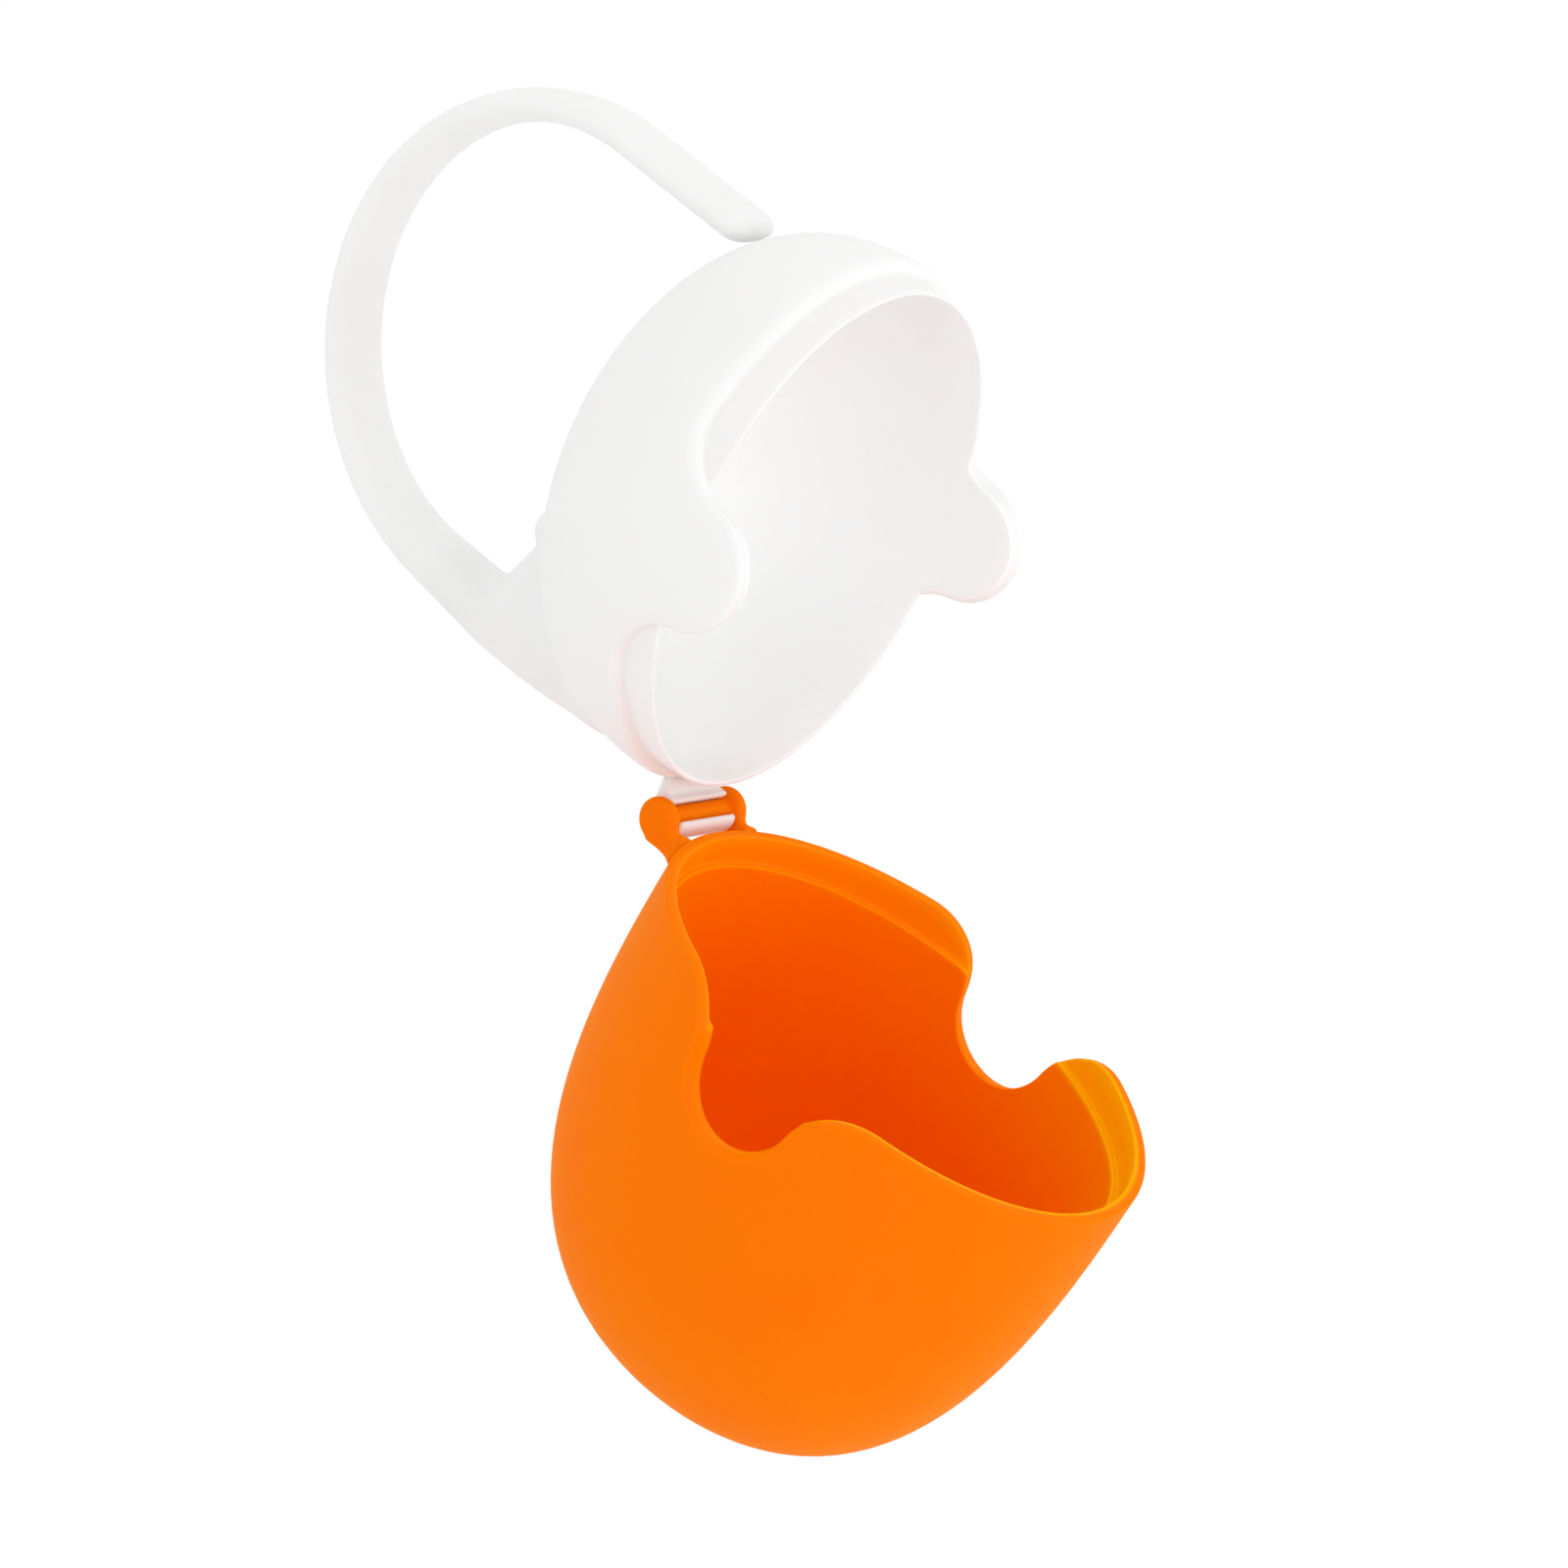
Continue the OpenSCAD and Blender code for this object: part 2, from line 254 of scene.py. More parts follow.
def cloudy(tree, place, scale, detail, roughness):
    """Noise over the piece, with its features 1 / scale metres apart."""
    return node(tree, "ShaderNodeTexNoise", None,
                {"Vector": place, "Scale": scale, "Detail": detail, "Roughness": roughness}, out="Fac")


def blend_colours(tree, factor, a, b):
    """One colour turning into another as the factor goes from 0 to 1."""
    made = tree.nodes.new("ShaderNodeMix")
    made.data_type = "RGBA"
    for key, value in ((0, factor), (6, a), (7, b)):
        if isinstance(value, Socket):
            tree.links.new(value.out, made.inputs[key])
        else:
            made.inputs[key].default_value = value if key == 0 else (*value, 1)
    return Socket(tree, made.outputs[2])


def round_skin(p, up, down):
    """Distance to the outside of the egg, near its skin."""
    x, y, z = p.T
    rho = np.sqrt((x / HALF_WIDTH) ** 2 + (y / HALF_LENGTH) ** 2) + 1e-9
    power = np.where(z >= 0, DOME_POWER, BOWL_POWER)
    zeta = np.where(z >= 0, z / up, -z / down)
    level = (rho**power + zeta**power) ** (1 / power)
    spread = np.sqrt((x / HALF_WIDTH**2) ** 2 + (y / HALF_LENGTH**2) ** 2) / rho
    slope_r = (rho / level) ** (power - 1) * spread
    slope_z = (zeta / level) ** (power - 1) / np.where(z >= 0, up, down)
    return (level - 1) / np.sqrt(slope_r**2 + slope_z**2 + 1e-12)


orange, tree, shader, place = plastic(
    "orange_polypropylene", roughness=0.3, ior=1.49, subsurface_weight=0.4,
    subsurface_radius=(1.0, 0.5, 0.02), subsurface_scale=0.002, coat_weight=0.08,
    coat_roughness=0.12, specular_ior_level=0.0)
cloud, grain = cloudy(tree, place, 55, 2, 0.5), cloudy(tree, place, 2600, 2, 0.6)
base = blend_colours(tree, cloud.between(0.35, 0.7), (1.0, 0.192, 0.0), (1.0, 0.178, 0.0))
# Painted light: a lighter orange on the inside of the bowl, most beside the step and on the front, stands
# for light shining through the wall.
painted_backlight = node(tree, "ShaderNodeAttribute", {"attribute_name": "painted_backlight"}, out="Fac")
base = blend_colours(tree, painted_backlight, base, (1.0, 0.41, 0.0))
tree.links.new(base.out, shader.inputs["Base Color"])
tree.links.new((0.27 + 0.06 * cloud + 0.03 * grain).out, shader.inputs["Roughness"])
bump = node(tree, "ShaderNodeBump", None, {"Strength": 0.05, "Distance": 0.00003, "Height": grain})
tree.links.new(bump.out, shader.inputs["Normal"])

# Along the edge, step is how far down the wall the step lies, stepped is 0 where there is none,
# and notch is 1 in the finger notch, where the outer edge is scooped and the land slants.
SLANT = 0.7
AROUND = 400
bowl_edge = parting_edge(0.0, SLANT)
phi, z0, far_phi, dp, dz = edge_columns(bowl_edge, np.arange(AROUND) / AROUND * bowl_edge[0][-1])
step = np.clip((z0 + STEP_DEPTH) / -dz, 0, STEP_DEPTH * 2)
stepped = np.clip(step / 0.6, 0, 1)
notch = ramp(-z0, 2.0, 7.0)
soft = 0.3 + (SLANT - 0.3) * notch
scoop = 0.3 + 1.5 * notch
quarter = np.radians(np.linspace(0, 90, 9))
bend = np.radians(np.linspace(0, 90, 6))


def wall_row(t, d):
    """A row at t below the edge, measured down the wall, and d inside the outer skin."""
    return egg(phi + t * dp, z0 + t * dz, d)


def wall_rows(start, toward, far_level, count):
    """Rows of angle and height from start below the edge to the far level."""
    first = (phi + start * dp, z0 + start * dz)
    return [first, *follow(first, toward, (dp, dz), (far_phi, far_level), count)]


FAR_LEVEL = -26.0
INNER_SOFT = 0.25
outside = wall_rows(soft + 1.6, -1, FAR_LEVEL, 12)
rows = [egg(far_phi, level) for level in to_pole(FAR_LEVEL, 0, 30)[::-1]]
rows += [egg(*pair) for pair in outside[::-1]]
rows += [wall_row(soft + more, 0) for more in (0.9, 0.35)]
rows += [wall_row(soft * (1 - math.sin(a)), scoop * (1 - math.cos(a))) for a in quarter]
ease, fill = 0.2 * stepped, 0.3 * stepped
inner = RIM_WALL + (WALL - RIM_WALL - 0.27) * notch
rows += [wall_row(0, (scoop + inner - ease - 0.03 * notch) / 2)]
rows += [wall_row(ease - ease * math.cos(a), inner - ease + ease * math.sin(a)) for a in bend[::2]]
rows += [wall_row(ease + (step - fill - ease) * u, inner) for u in (0.5, 1)]
rows += [wall_row(step - fill * (1 - math.sin(a)), inner + fill * (1 - math.cos(a))) for a in bend[1::2]]
rows += [wall_row(step, inner + fill + (WALL - INNER_SOFT - inner - fill) * u) for u in (0.5, 1)]
rows += [wall_row(step + INNER_SOFT * (1 - math.cos(a)), WALL - INNER_SOFT * (1 - math.sin(a)))
         for a in bend[1:]]
rows += [wall_row(step + INNER_SOFT + more, WALL) for more in (0.4, 1.0)]
rows += [egg(*pair, WALL) for pair in wall_rows(step + 1.9, -1, FAR_LEVEL, 12)]
rows += [egg(far_phi, level, WALL) for level in to_pole(FAR_LEVEL, WALL, 28)]
shell = skin(rows)


def painted_backlight_mask(p):
    """Painted light on the inside of the bowl, for light shining through the wall: most on the front wall
    beside the step, where the wall is thinnest, fainter further down.
    """
    inner = ramp(-round_skin(p, LID_HEIGHT, BOWL_DEPTH), 1.0, 1.5)
    beside = ramp(p[:, 2], -4.6, -3.9) + 0.3 * ramp(p[:, 2], -26, -4.2)
    return np.clip(inner * beside * (0.18 + 0.82 * ramp(p[:, 1], 20, -15)), 0, 1)


# The painted light that stands for light shining through the wall is stored on the bowl's vertices.
mark(shell, "painted_backlight", painted_backlight_mask)
mould("bowl_shell", shell, bowl_place, orange, "bowl", ("bowl",))

# Hinge ears and pin. Two round-edged ears grow from the back of the bowl's rim and carry the pin
# between them; ears, pin and bowl are one moulding, with soft fillets where they meet.

PIN_Y, PIN_Z, PIN_RADIUS = 38.9, -0.6, 1.45
EAR_RADIUS, EAR_THICKNESS, EAR_SPACING, EAR_SOFT = 2.85, 1.9, 11.2, 0.9
EAR_ARM_Z, EAR_ARM_HALF, EAR_ARM_START = -1.9, 1.6, 33.2
EAR_MIDDLE = (EAR_SPACING + EAR_THICKNESS) / 2


def melt(a, b, width):
    """Two distances joined as one, with a fillet about as wide as width."""
    width = np.maximum(width, 1e-3)
    h = np.clip(width - np.abs(a - b), 0, None) / width
    return np.minimum(a, b) - h * h * width / 4


def slab(side, across, soft_edge):
    """A side-view shape given thickness, with its edges rounded."""
    a, b = side + soft_edge, across + soft_edge
    return np.hypot(np.maximum(a, 0), np.maximum(b, 0)) + np.minimum(np.maximum(a, b), 0) - soft_edge


def ear_field(p):
    """Distance to the ears and the pin, with a skirt that runs out into the bowl's wall."""
    x, y, z = p.T
    arm = np.maximum(np.maximum(y - PIN_Y, EAR_ARM_START - y), np.abs(z - EAR_ARM_Z) - EAR_ARM_HALF)
    side = melt(np.hypot(y - PIN_Y, z - PIN_Z) - EAR_RADIUS, arm, 1.0)
    ears = slab(side, np.abs(np.abs(x) - EAR_MIDDLE) - EAR_THICKNESS / 2, EAR_SOFT)
    pin = slab(np.hypot(y - PIN_Y, z - PIN_Z) - PIN_RADIUS, np.abs(x) - EAR_SPACING / 2 - 1, 0.1)
    both = melt(ears, pin, 0.9)
    wall = np.maximum(round_skin(p, LID_HEIGHT, BOWL_DEPTH) + 0.08, z + 0.7)
    joined = np.minimum(melt(both, wall, 2.2), both)
    return np.maximum(np.maximum(joined, np.minimum(both - 1.1, wall + 1.1)), 33.5 - y)


def grow_skin(bm, field, voxel, rounds):
    """Remeshes rough overlapping solids into one skin and settles it on a smooth field."""
    mesh = bpy.data.meshes.new("rough")
    bmesh.ops.recalc_face_normals(bm, faces=bm.faces)
    bm.to_mesh(mesh)
    bm.free()
    rough = show("rough", mesh)
    remesh = rough.modifiers.new("skin", "REMESH")
    remesh.mode, remesh.voxel_size, remesh.adaptivity = "VOXEL", voxel, 0
    even = bpy.data.meshes.new_from_object(rough.evaluated_get(bpy.context.evaluated_depsgraph_get()))
    bpy.data.objects.remove(rough)
    bpy.data.meshes.remove(mesh)
    co = np.empty(len(even.vertices) * 3)
    even.vertices.foreach_get("co", co)
    co = co.reshape(-1, 3)
    ends = np.empty(len(even.edges) * 2, dtype=np.int64)
    even.edges.foreach_get("vertices", ends)
    a, b = ends.reshape(-1, 2).T
    many = np.bincount(a, minlength=len(co)) + np.bincount(b, minlength=len(co))
    for _ in range(rounds):
        mean = np.stack([np.bincount(a, co[b, i], len(co)) + np.bincount(b, co[a, i], len(co))
                         for i in range(3)], 1) / many[:, None]
        co += 0.6 * (mean - co)
        for _ in range(4):
            slope = np.stack([(field(co + e) - field(co - e)) / 0.02 for e in np.eye(3) * 0.01], 1)
            move = (field(co) / np.maximum((slope**2).sum(1), 0.2))[:, None] * slope
            co -= np.clip(move, -2 * voxel, 2 * voxel)
    even.vertices.foreach_set("co", co.ravel())
    out = bmesh.new()
    out.from_mesh(even)
    bpy.data.meshes.remove(even)
    return out


def add_rod(bm, a, b, radius):
    """A plain rod between two points, as raw stock."""
    a, b = Vector(a), Vector(b)
    turn = (b - a).to_track_quat("Z", "Y").to_matrix().to_4x4()
    bmesh.ops.create_cone(bm, cap_ends=True, segments=32, radius1=radius, radius2=radius,
                          depth=(b - a).length, matrix=Matrix.Translation((a + b) / 2) @ turn)


stock = bmesh.new()
add_rod(stock, (-6.5, PIN_Y, PIN_Z), (6.5, PIN_Y, PIN_Z), PIN_RADIUS)
for side in (-1, 1):
    near, far = side * (EAR_MIDDLE - 0.75), side * (EAR_MIDDLE + 0.75)
    add_rod(stock, (near, PIN_Y, PIN_Z), (far, PIN_Y, PIN_Z), EAR_RADIUS - 0.1)
    for y in PIN_Y - np.arange(1.0, 5.0):
        add_rod(stock, (near, y, EAR_ARM_Z), (far, y, EAR_ARM_Z), EAR_ARM_HALF - 0.2)
mould("ears_and_pin", grow_skin(stock, ear_field, 0.15, 3), bowl_place, orange, "bowl")

# Lid. A domed shell of satin, milky white polypropylene: a soft-edged rim with a lip that enters
# the bowl's step, a round tab at each side that fills the finger notch, a small round stud, and
# the thick root of the hook, which flows out of the back of the dome.

OPEN = math.radians(100)
CUT_LEVEL, INNER_LEVEL = 5.0, 8.0
STUD_FOOT, STUD_HEIGHT, STUD_LEAN, STUD_RADIUS = (15.2, 26.08), 9.5, math.radians(20), 2.3
CROOK_Y, CROOK_Z, CROOK_RADIUS = 20.6, 39.2, 6.6
WEB_HALF_WIDTH, WEB_TOP, WEB_FOOT, WEB_FRONT = 4.6, 38.0, 26.0, 17.2
ROOT_FOOT, ROOT_HEIGHT = 5.0, 33.0
LEAN = math.radians(8)
BOW_Y, BOW_Z, BOW_RADIUS = -0.5, 45.0, 30.6
HOOK_HALF_WIDTH, TIP_THICK, ROOT_EXTRA, ROOT_REACH = 4.7, 4.2, 6.2, 69.0
LEG_TOP = (BOW_Y + BOW_RADIUS * math.cos(LEAN), BOW_Z + BOW_RADIUS * math.sin(LEAN))


def lid_place(p):
    """From the shut drawing to the open lid's place in the frame."""
    c, s = math.cos(OPEN), math.sin(OPEN)
    v, w = p[1] - PIN_Y, p[2] - PIN_Z
    return bowl_place((p[0], PIN_Y + c * v + s * w, PIN_Z - s * v + c * w))


def leg_half(u):
    """Half thickness of the hook at u below the bow's end."""
    from_top = np.clip(u + (math.pi / 2 - LEAN) * BOW_RADIUS, 0, None)
    return (TIP_THICK + ROOT_EXTRA * (from_top / ROOT_REACH) ** 1.6) / 2


def oval(x, y, wide, thick):
    """Distance to an ellipse with these half axes, close to its outline."""
    e = np.sqrt((x / wide) ** 2 + (y / thick) ** 2) + 1e-9
    return (e - 1) * e / np.sqrt((x / wide**2) ** 2 + (y / thick**2) ** 2 + 1e-12)


def flare(z):
    """The hook's root at a height: its back, its front and its half width."""
    t = np.clip((z - ROOT_FOOT) / ROOT_HEIGHT, -0.15, 1.0)
    return 34 + 8.2 * t - 6.3 * t * t, 13 + 13.2 * np.abs(t) ** 5, HOOK_HALF_WIDTH + 4.5 * (1 - t * t)


def lid_field(p):
    """Distance to the outside of the dome with the hook's root, the crook's web and the stud."""
    x, y, z = p.T
    dome = round_skin(p, LID_HEIGHT, BOWL_DEPTH)
    u = (y - LEG_TOP[0]) * math.sin(LEAN) - (z - LEG_TOP[1]) * math.cos(LEAN)
    q = (y - LEG_TOP[0]) * math.cos(LEAN) + (z - LEG_TOP[1]) * math.sin(LEAN)
    leg = oval(x, q, HOOK_HALF_WIDTH, leg_half(u))
    back, front, wide = flare(z)
    root = oval(x, y - (back + front) / 2, wide, (back - front) / 2)
    high = ramp(z, 33, 40.5)
    stem = root * (1 - high) + leg * high
    body = melt(dome, stem, 0.01 + 7 * ramp(z, 5.5, 17))
    web = -melt(np.hypot(y - CROOK_Y, z - CROOK_Z) - CROOK_RADIUS, -np.maximum(z - WEB_TOP, y - 30), 1.5)
    web = np.maximum(web, np.maximum(WEB_FOOT - z, WEB_FRONT + 0.4 * np.minimum(z - 33.5, 0) - y))
    body = melt(body, slab(web, np.abs(x) - WEB_HALF_WIDTH, 3.4), 0.01 + 2.5 * ramp(z, 41.6, 39.5))
    along = (y - STUD_FOOT[0]) * math.sin(STUD_LEAN) + (z - STUD_FOOT[1]) * math.cos(STUD_LEAN)
    aside = (y - STUD_FOOT[0]) * math.cos(STUD_LEAN) - (z - STUD_FOOT[1]) * math.sin(STUD_LEAN)
    return melt(body, slab(np.hypot(x, aside) - STUD_RADIUS, along - STUD_HEIGHT, 0.7), 1.6)


def lofted(rows):
    """Raw stock through rows of points, closed at both ends."""
    return skin([np.repeat(rows[0].mean(0)[None], len(rows[0]), 0), *rows,
                 np.repeat(rows[-1].mean(0)[None], len(rows[-1]), 0)])


def hook_ring(y, z, lean, thick, wide, around=48):
    """One oval section of the hook, square to a line that leans this much from upright."""
    a = np.linspace(0, 2 * math.pi, around, endpoint=False)
    return np.stack([wide * np.cos(a), y + thick * np.sin(a) * math.cos(lean),
                     z + thick * np.sin(a) * math.sin(lean)], 1)


def leg_ring(u, around=48):
    """The hook's section at u below the bow's end, on the straight leg."""
    return hook_ring(LEG_TOP[0] + u * math.sin(LEAN), LEG_TOP[1] - u * math.cos(LEAN), LEAN,
                     leg_half(u), HOOK_HALF_WIDTH, around)


def root_ring(level):
    """The root's level section."""
    back, front, wide = flare(level)
    return hook_ring((back + front) / 2, level, 0, (back - front) / 2, wide, 32)


def absorb(bm, part):
    """Adds the faces of one bmesh to another, and frees it."""
    mesh = bpy.data.meshes.new("part")
    part.to_mesh(mesh)
    part.free()
    bm.from_mesh(mesh)
    bpy.data.meshes.remove(mesh)


turn = np.linspace(0, 2 * math.pi, 96, endpoint=False)
stock = bmesh.new()
for part in ([egg(turn, level) for level in (-4.0, 0.0, 2.5, 4.0, 5.0, *to_pole(5.5, 0, 18))],
             [root_ring(level) for level in np.arange(2.0, 38.5, 1.5)],
             [leg_ring(u, 32) for u in np.arange(4.0, 19.0, 1.5)]):
    absorb(stock, lofted(part))
add_rod(stock, (0, 13.6, 21.7), (0, 18.3, 34.7), 2.1)
for y, z in ((19, 30.5), (22, 30.5), (25, 32)):
    add_rod(stock, (-3.4, y, z), (3.4, y, z), 1.5)
outer = grow_skin(stock, lid_field, 0.42, 4)
bmesh.ops.bisect_plane(outer, geom=[*outer.verts, *outer.edges, *outer.faces],
                       plane_co=(0, 0, CUT_LEVEL), plane_no=(0, 0, 1), clear_inner=True)
LEG_LENGTH = 7.4
leg_end = (0, LEG_TOP[0] + LEG_LENGTH * math.sin(LEAN), LEG_TOP[1] - LEG_LENGTH * math.cos(LEAN))
leg_line = (0, -math.sin(LEAN), math.cos(LEAN))
bmesh.ops.bisect_plane(outer, geom=[*outer.verts, *outer.edges, *outer.faces],
                       plane_co=leg_end, plane_no=leg_line, clear_outer=True)
leg_hole = [e for e in outer.edges if e.is_boundary and e.verts[0].co.z > 30]
for face in bmesh.ops.holes_fill(outer, edges=leg_hole)["faces"]:
    for e in face.edges:
        e.smooth = False

# The shell's lower rim is straightened, and the rim, lip and inside are laid on its vertices.
rim = [v for v in outer.verts if v.is_boundary]
for v in rim:
    v.co.z = CUT_LEVEL
bmesh.ops.remove_doubles(outer, verts=rim, dist=0.12)
rim = [v for v in outer.verts if v.is_boundary]
angles = np.array([math.atan2(v.co.y / HALF_LENGTH, v.co.x / HALF_WIDTH) % (2 * math.pi) for v in rim])
order = np.argsort(angles)
far_phi = angles[order]
for v, p in zip([rim[i] for i in order], egg(far_phi, np.full_like(far_phi, CUT_LEVEL))):
    v.co = p

phi, z0, _, dp, dz = edge_columns(parting_edge(-0.2), far_phi, "column")
dp, dz = -dp, -dz
lip = np.clip((z0 + LIP_DEPTH) / dz, 0, 8)
lipped = np.clip(lip / 0.6, 0, 1)
tab = np.clip((-1.0 - z0) / 5, 0, 1)
soft, round_in, rise = 1.9 - 0.7 * tab, 1.4 - 0.4 * tab, SLANT * tab
LIP_INSET, LIP_SOFT = RIM_WALL + 0.2, 0.22


def lid_row(t, d):
    """A row of the lid's edge, whose land slants on the tab to meet the scooped notch."""
    return wall_row(t + rise * np.clip((d - 0.2) / 0.9, 0, 1), d)


rows = [egg(*pair) for pair in wall_rows(soft + 0.7, 1, CUT_LEVEL, 7)[::-1]]
rows += [wall_row(soft + 0.3, 0)]
rows += [lid_row(soft * (1 - math.sin(a)), round_in * (1 - math.cos(a)))
         for a in np.radians(np.linspace(0, 90, 10))]
fill, ease = 0.25 * lipped, LIP_SOFT * lipped
rows += [lid_row(fill * (math.cos(a) - 1), LIP_INSET - fill * (1 - math.sin(a))) for a in bend[::2]]
rows += [lid_row(-fill - (lip - ease - fill) * u, LIP_INSET) for u in (0.5, 1)]
rows += [lid_row(ease * (1 - math.sin(a)) - lip, LIP_INSET + ease * (1 - math.cos(a))) for a in bend[1::2]]
rows += [lid_row(LIP_SOFT * (1 - math.cos(a)) - lip, WALL - LIP_SOFT * (1 - math.sin(a)))
         for a in bend[::2]]
rows += [lid_row(LIP_SOFT - lip + more, WALL) for more in (0.0, 0.4, 1.0)]
rows += [egg(*pair, WALL) for pair in wall_rows(1.9 - lip + rise, 1, INNER_LEVEL, 10)]
rows += [egg(far_phi, level, WALL) for level in to_pole(INNER_LEVEL, WALL, 22)]
absorb(outer, skin(rows))
bmesh.ops.remove_doubles(outer, verts=[v for v in outer.verts if v.is_boundary], dist=0.01)

white, tree, shader, place = plastic(
    "milky_polypropylene", roughness=0.42, ior=1.49, subsurface_weight=0.55,
    subsurface_radius=(1.0, 0.95, 0.9), subsurface_scale=0.003)
cloud, grain = cloudy(tree, place, 45, 2, 0.5), cloudy(tree, place, 2200, 3, 0.6)
base = blend_colours(tree, cloud.between(0.3, 0.7), (0.88, 0.88, 0.875), (0.86, 0.86, 0.855))
# Painted light: the inside of the dome is painted a lighter, slightly bluer white, for light shining
# through the lid and against the orange light thrown up from the bowl.
inside = node(tree, "ShaderNodeAttribute", {"attribute_name": "inside"}, out="Fac")
base = blend_colours(tree, inside, base, (0.95, 0.985, 0.99))
roughness = 0.38 + 0.07 * cloud + 0.05 * grain
bump = node(tree, "ShaderNodeBump", None, {"Strength": 0.12, "Distance": 0.00004, "Height": grain})
dense = node(tree, "ShaderNodeBsdfPrincipled", None, {"IOR": 1.49})
for shade in (shader, dense.out.node):
    for key, value in (("Base Color", base), ("Roughness", roughness), ("Normal", bump)):
        tree.links.new(value.out, shade.inputs[key])
seam = node(tree, "ShaderNodeAttribute", {"attribute_name": "seam"}, out="Fac")
mixed = node(tree, "ShaderNodeMixShader", None,
             {0: seam, 1: Socket(tree, shader.outputs[0]), 2: dense})
tree.links.new(mixed.out, tree.nodes["Material Output"].inputs["Surface"])


def near_seam(p):
    """1 where the hook leaves the lid, 0 more than a few millimetres away along the leg."""
    along = (p - np.array(leg_end)) @ np.array(leg_line)
    return ramp(np.abs(along), 7, 2.5) * ramp(p[:, 1], 20, 22)


def painted_inner_light_mask(p):
    """Painted light: 1 on the inside of the dome, fading out towards the hinge, where a lighter white
    stands for light shining through the lid.
    """
    return ramp(-round_skin(p, LID_HEIGHT, BOWL_DEPTH), 1.9, 2.3) * (1 - 0.95 * ramp(p[:, 1], 4, 24))


# Painted light: the inside of the dome is marked to be painted lighter.
mark(outer, "inside", painted_inner_light_mask)
mark(outer, "seam", near_seam)

mould("lid_shell", outer, lid_place, white, "lid", ("lid",))

# Hinge clip. An open-sided clip of the lid's own white plastic, which snaps over the pin between
# the ears; a flat-topped arm carries it from the lid's rim, and its mouth faces the bowl.

CLIP_BORE, CLIP_OUTER, CLIP_HALF = 1.51, 2.66, 5.3
MOUTH, MOUTH_SLOPE = 2.5, math.radians(38)
CLIP_SOFT, CLIP_ARM_UNDER, CLIP_ARM_START = 0.3, 1.1, 33.1


def clip_field(p):
    """Distance to the clip: a ring with a flat-topped arm and a mouth cut through its lower side."""
    x, y, z = p.T
    v, w = y - PIN_Y, z - PIN_Z
    reach = np.maximum(np.maximum(w - CLIP_OUTER, CLIP_ARM_UNDER - w), np.maximum(v, CLIP_ARM_START - y))
    body = melt(np.hypot(v, w) - CLIP_OUTER, reach, 0.9)
    body = np.maximum(body, CLIP_BORE - np.hypot(v, w))
    along = -v * math.cos(MOUTH_SLOPE) - w * math.sin(MOUTH_SLOPE)
    aside = w * math.cos(MOUTH_SLOPE) - v * math.sin(MOUTH_SLOPE)
    mouth = np.maximum(np.abs(aside) - MOUTH / 2, -along)
    return slab(slab(body, -mouth, CLIP_SOFT), np.abs(x) - CLIP_HALF, CLIP_SOFT)


stock = bmesh.new()
HALF_ROD, RING_MIDDLE = CLIP_HALF - 0.2, 2.05
for g in np.radians(np.linspace(265, 533, 26)):
    at = (PIN_Y + RING_MIDDLE * math.cos(g), PIN_Z + RING_MIDDLE * math.sin(g))
    add_rod(stock, (-HALF_ROD, *at), (HALF_ROD, *at), 0.5)
for y in PIN_Y - np.linspace(0, 5.0, 11):
    for z in (PIN_Z + 1.8, PIN_Z + 2.1):
        add_rod(stock, (-HALF_ROD, y, z), (HALF_ROD, y, z), 0.45)
mould("hinge_clip", grow_skin(stock, clip_field, 0.15, 2), lid_place, white, "lid")

# Hook. A wide open bow of the same white plastic, oval in section and thinner towards its round
# tip, which stops just short of the dome; it is one moulding with the lid.

LEAN_IN, FREE_LENGTH = math.radians(6), 19.0
TIP_LEAN = math.pi + LEAN_IN


def bow_at(g):
    """The middle of the bow's section at an angle round it."""
    return BOW_Y + BOW_RADIUS * math.cos(g), BOW_Z + BOW_RADIUS * math.sin(g)


def free_ring(t, thick, wide):
    """The section at t along the straight free end."""
    y, z = bow_at(TIP_LEAN)
    return hook_ring(y + t * math.sin(LEAN_IN), z - t * math.cos(LEAN_IN), TIP_LEAN, thick, wide)


TIP_HALF = TIP_THICK / 2
rows = [leg_ring(u) for u in np.linspace(LEG_LENGTH, 0.0, 10)[:-1]]
rows += [hook_ring(*bow_at(g), g, leg_half((LEAN - g) * BOW_RADIUS), HOOK_HALF_WIDTH)
         for g in np.linspace(LEAN, TIP_LEAN, 110)]
rows += [free_ring(t, TIP_HALF, HOOK_HALF_WIDTH) for t in np.linspace(0, FREE_LENGTH, 24)[1:]]
rows += [free_ring(FREE_LENGTH + TIP_HALF * math.sin(w), TIP_HALF * math.cos(w),
                   HOOK_HALF_WIDTH * (0.45 + 0.55 * math.cos(w)))
         for w in np.radians(np.linspace(0, 88, 12))[1:]]
hook_bm = lofted(rows)
for e in hook_bm.edges:
    if all(abs((v.co - Vector(leg_end)).dot(Vector(leg_line))) < 1e-3 for v in e.verts):
        e.smooth = False
mark(hook_bm, "seam", near_seam)
hook = mould("hook_bow", hook_bm, lid_place, white, None, ("hook_arm",))
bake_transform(hook)

# Studio. A pale floor well below the case, an even white surround, one broad soft lamp in front
# and a small one for the glint, and the camera at the photograph's viewing angle.

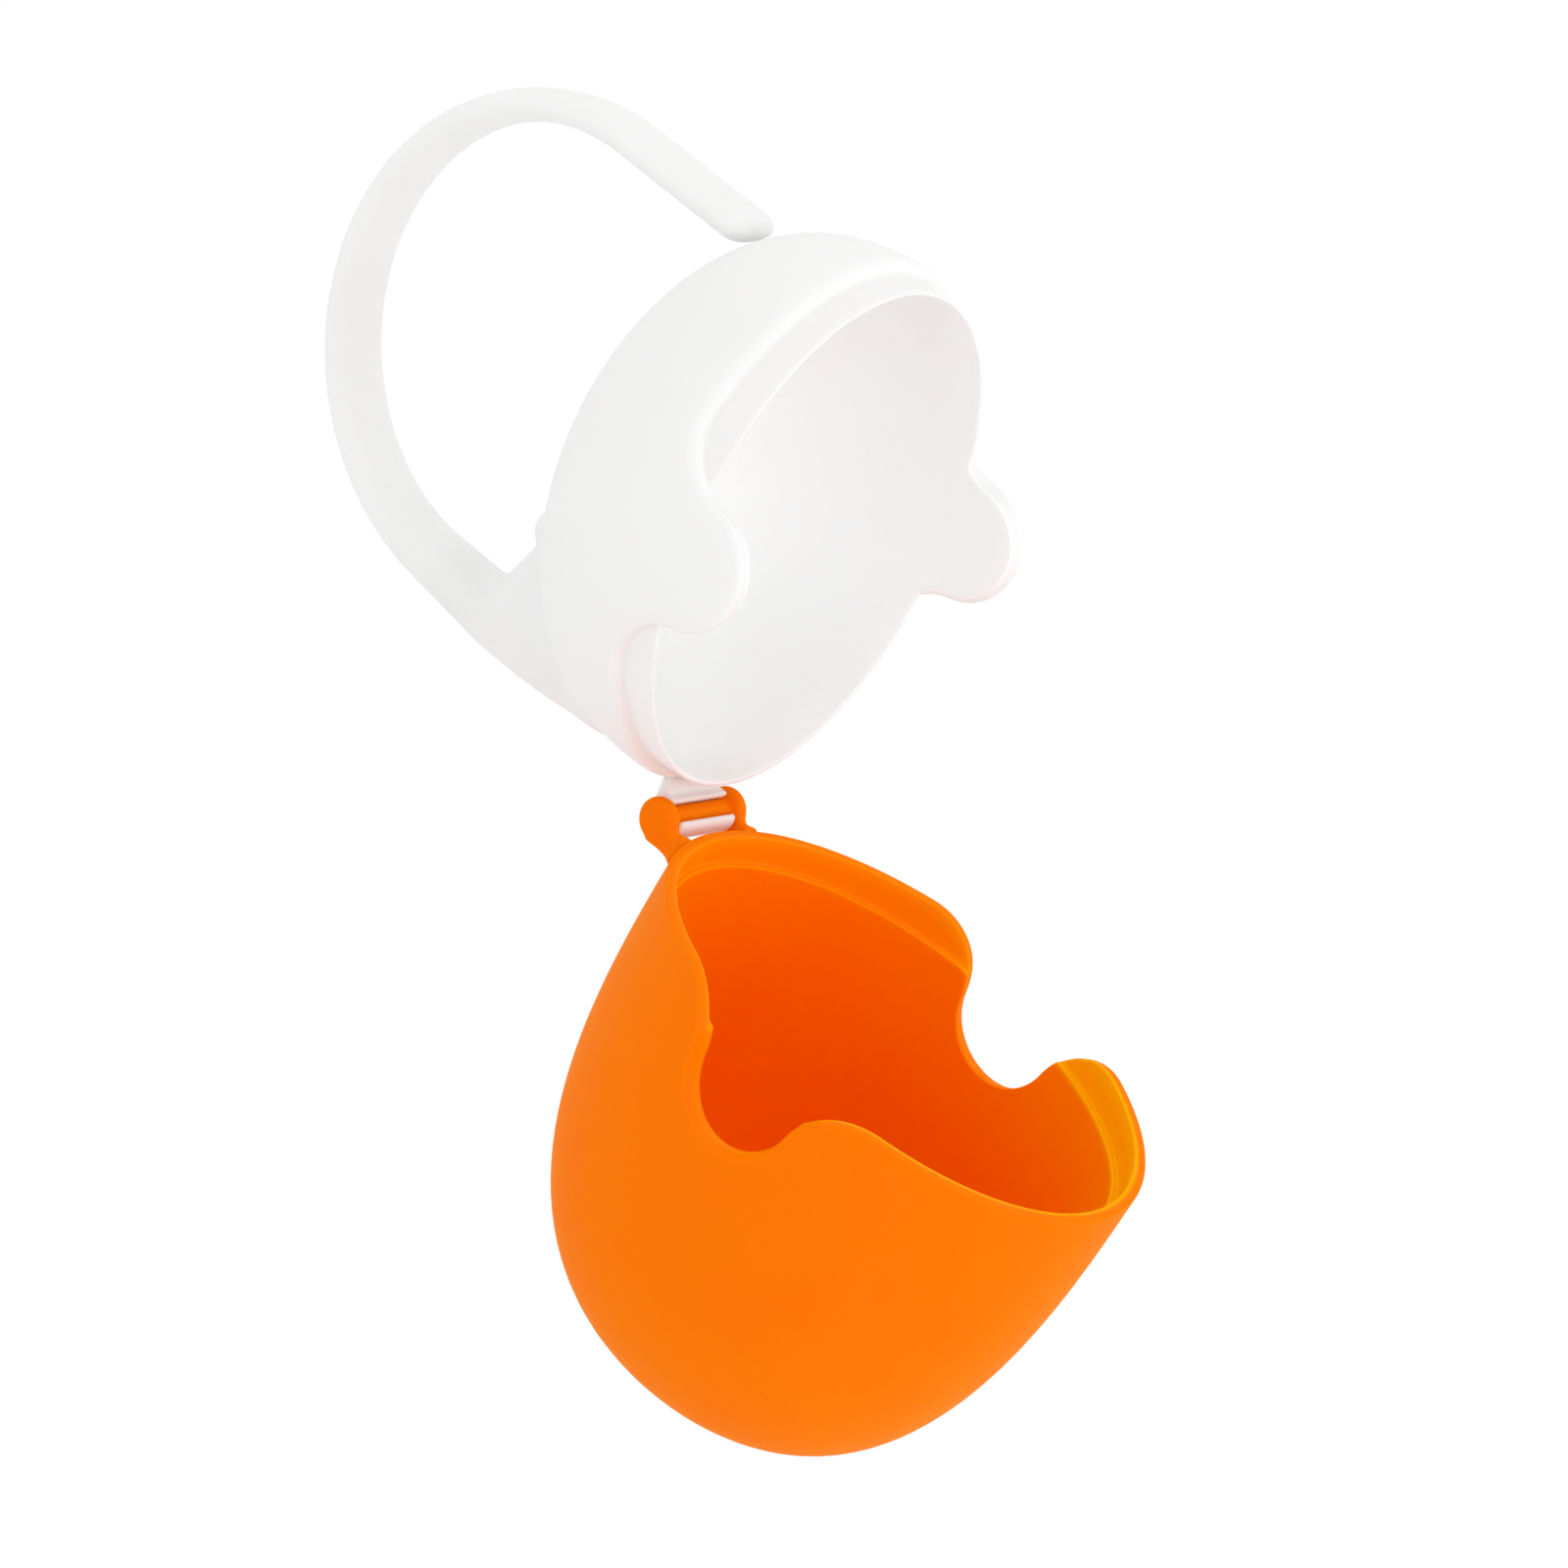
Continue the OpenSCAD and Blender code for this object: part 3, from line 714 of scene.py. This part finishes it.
FLOOR_SIZE, FLOOR_LEVEL = 6, -0.42
floor_bm = bmesh.new()
bmesh.ops.create_grid(floor_bm, x_segments=1, y_segments=1, size=FLOOR_SIZE,
                      matrix=Matrix.Translation((0, 0, FLOOR_LEVEL)))
floor_mesh = bpy.data.meshes.new("floor")
floor_bm.to_mesh(floor_mesh)
floor_bm.free()
floor = show("floor", floor_mesh)
paper = bpy.data.materials.new("pale_paper")
paper.use_nodes = True
tree = paper.node_tree
shader = tree.nodes["Principled BSDF"]
shader.inputs["Base Color"].default_value = (0.9, 0.9, 0.9, 1)
shader.inputs["Roughness"].default_value = 0.9
seen = node(tree, "ShaderNodeLightPath", out="Is Camera Ray")
glow = node(tree, "ShaderNodeEmission", None, {"Color": (1, 1, 1, 1), "Strength": 1.03})
mixed = node(tree, "ShaderNodeMixShader", None,
             {0: 0.9 * seen, 1: Socket(tree, shader.outputs[0]), 2: glow})
tree.links.new(mixed.out, tree.nodes["Material Output"].inputs["Surface"])
floor.data.materials.append(paper)

world = bpy.data.worlds.new("white_tent")
bpy.context.scene.world = world
world.use_nodes = True
tree = world.node_tree
background = tree.nodes["Background"]
background.inputs["Color"].default_value = (1, 1, 1, 1)
seen = node(tree, "ShaderNodeLightPath", out="Is Camera Ray")
tree.links.new((0.98 + 0.07 * seen).out, background.inputs["Strength"])

middle = Vector((0, -0.078, -0.02))
for name, size, power, where in (("front", 0.8, 1.3, (0.05, -0.85, 0.35)),
                                 ("glint", 0.03, 0.22, (-0.55, -0.6, 0.75))):
    lamp = bpy.data.lights.new(name, "AREA")
    lamp.size, lamp.energy = size, power
    light = show(name, lamp)
    light.location = where
    light.rotation_euler = (Vector(where) - middle).to_track_quat("Z", "Y").to_euler()

DISTANCE, ASIDE, RAISED = 605.932, -14.3972, 27.957
azimuth, height, roll = (math.radians(v) for v in (-61.937563, 26.487912, -31.094827))
back = Vector((math.sin(azimuth), -math.cos(azimuth), 0)) * math.cos(height)
back.z = math.sin(height)
level = Vector((math.cos(azimuth), math.sin(azimuth), 0))
up = back.cross(level)
right = math.cos(roll) * level - math.sin(roll) * up
top = math.sin(roll) * level + math.cos(roll) * up
camera = show("camera", bpy.data.cameras.new("camera"))
camera.data.lens, camera.data.sensor_width = 117.4913, 36.0
camera.data.clip_start = 0.01
where = DISTANCE * back + ASIDE * right + RAISED * top + Vector(BOWL_PLACE)
turned = Matrix((right, top, back)).transposed().to_4x4()
camera.matrix_world = Matrix.Translation(where / 1000) @ turned
bpy.context.scene.camera = camera
bpy.context.scene.view_settings.view_transform = "Standard"
